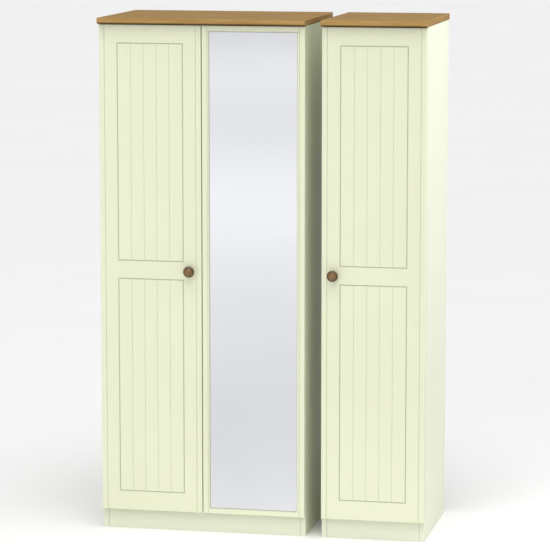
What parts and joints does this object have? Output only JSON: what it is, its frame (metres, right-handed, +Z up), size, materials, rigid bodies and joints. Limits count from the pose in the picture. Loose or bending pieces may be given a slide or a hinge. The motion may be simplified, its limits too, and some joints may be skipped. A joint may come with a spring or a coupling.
{
  "type": "wardrobe with doors",
  "caption": "Free-standing wardrobe units side by side, with full-height hinged doors, a mirror door, wood-effect tops, turned knobs, and a shelf and hanging rail inside.",
  "frame": {"origin": "on the floor, under the middle of the bounding box of the two units", "axes": "+X to the right along the fronts, +Y to the back, +Z up; the doors face -Y"},
  "size_m": [1.168, 0.551, 1.83],
  "materials": {
    "cream_board": "cream foil-faced particle board, satin",
    "cream_door": "cream vinyl-wrapped routed fibreboard, satin",
    "oak_effect_board": "oak-effect foil, satin",
    "hardboard": "painted hardboard",
    "dowel_wood": "beech, bare",
    "knob_wood": "turned and stained, lacquered",
    "mirror": "silvered float glass",
    "white_plastic": "moulded, matte",
    "chromed_tube": "chrome-plated",
    "zinc_fitting": "zinc-plated",
    "hinge_steel": "nickel-plated pressed steel"
  },
  "bodies": {
    "carcass": {"double_top": "oak_effect_board", "double_left_side": "cream_board", "double_right_side": "cream_board", "double_base": "cream_board", "double_plinth": "cream_board", "double_foot_rail": "cream_board", "double_front_rail": "cream_board", "double_back_rail": "cream_board", "double_shelf": "cream_board", "double_back_left": "hardboard", "double_back_right": "hardboard", "double_back_strip": "white_plastic", "double_hanging_rail": "chromed_tube", "single_top": "oak_effect_board", "single_left_side": "cream_board", "single_right_side": "cream_board", "single_base": "cream_board", "single_plinth": "cream_board", "single_foot_rail": "cream_board", "single_front_rail": "cream_board", "single_back_rail": "cream_board", "single_shelf": "cream_board", "single_back": "hardboard", "single_hanging_rail": "chromed_tube", "rail_sockets": "zinc_fitting", "socket_screws": "zinc_fitting", "shelf_studs": "zinc_fitting", "dowels": "dowel_wood", "cam_discs": "zinc_fitting", "cam_bolts": "zinc_fitting", "back_pins": "zinc_fitting", "door_buffers": "white_plastic", "hinge_arms": "hinge_steel", "hinge_plates": "hinge_steel", "hinge_screws": "zinc_fitting", "hinge_arm_pins": "zinc_fitting"},
    "left_door": {"left_door": "cream_door", "left_knob": "knob_wood", "left_knob_screw": "zinc_fitting", "left_hinge_cups": "hinge_steel", "left_cup_screws": "zinc_fitting", "left_cup_pins": "zinc_fitting"},
    "left_long_links": {"left_long_links": "hinge_steel"},
    "left_short_links": {"left_short_links": "hinge_steel"},
    "mirror_door": {"mirror_door": "cream_door", "mirror_glass": "mirror", "mirror_tape": "white_plastic", "mirror_hinge_cups": "hinge_steel", "mirror_cup_screws": "zinc_fitting", "mirror_cup_pins": "zinc_fitting"},
    "mirror_long_links": {"mirror_long_links": "hinge_steel"},
    "mirror_short_links": {"mirror_short_links": "hinge_steel"},
    "right_door": {"right_door": "cream_door", "right_knob": "knob_wood", "right_knob_screw": "zinc_fitting", "right_hinge_cups": "hinge_steel", "right_cup_screws": "zinc_fitting", "right_cup_pins": "zinc_fitting"},
    "right_long_links": {"right_long_links": "hinge_steel"},
    "right_short_links": {"right_short_links": "hinge_steel"}
  },
  "joints": [
    {"name": "left_long_link_swing", "type": "hinge", "parent": "carcass", "child": "left_long_links", "pos_m": [-0.5485, -0.2278, 0], "axis": [0, 0, -1], "range_deg": [-38.7, 0]},
    {"name": "left_door_opening", "type": "hinge", "parent": "left_long_links", "child": "left_door", "pos_m": [-0.5704, -0.225, 0], "axis": [0, 0, -1], "range_deg": [0, 130.64]},
    {"name": "left_short_link_swing", "type": "hinge", "parent": "carcass", "child": "left_short_links", "pos_m": [-0.5596, -0.2301, 0], "axis": [0, 0, -1], "range_deg": [-56.2, 0]},
    {"name": "mirror_long_link_swing", "type": "hinge", "parent": "carcass", "child": "mirror_long_links", "pos_m": [0.1215, -0.2278, 0], "axis": [0, 0, 1], "range_deg": [-38.7, 0]},
    {"name": "mirror_door_opening", "type": "hinge", "parent": "mirror_long_links", "child": "mirror_door", "pos_m": [0.1434, -0.225, 0], "axis": [0, 0, 1], "range_deg": [0, 130.64]},
    {"name": "mirror_short_link_swing", "type": "hinge", "parent": "carcass", "child": "mirror_short_links", "pos_m": [0.1326, -0.2301, 0], "axis": [0, 0, 1], "range_deg": [-56.2, 0]},
    {"name": "right_long_link_swing", "type": "hinge", "parent": "carcass", "child": "right_long_links", "pos_m": [0.5485, -0.2278, 0], "axis": [0, 0, 1], "range_deg": [-38.7, 0]},
    {"name": "right_door_opening", "type": "hinge", "parent": "right_long_links", "child": "right_door", "pos_m": [0.5704, -0.225, 0], "axis": [0, 0, 1], "range_deg": [0, 130.64]},
    {"name": "right_short_link_swing", "type": "hinge", "parent": "carcass", "child": "right_short_links", "pos_m": [0.5596, -0.2301, 0], "axis": [0, 0, 1], "range_deg": [-56.2, 0]}
  ],
  "couplings": [
    {"joint": "left_long_link_swing", "follows": "left_door_opening", "ratio": -0.29578},
    {"joint": "left_short_link_swing", "follows": "left_door_opening", "ratio": -0.42958},
    {"joint": "mirror_long_link_swing", "follows": "mirror_door_opening", "ratio": -0.29578},
    {"joint": "mirror_short_link_swing", "follows": "mirror_door_opening", "ratio": -0.42958},
    {"joint": "right_long_link_swing", "follows": "right_door_opening", "ratio": -0.29578},
    {"joint": "right_short_link_swing", "follows": "right_door_opening", "ratio": -0.42958}
  ]
}
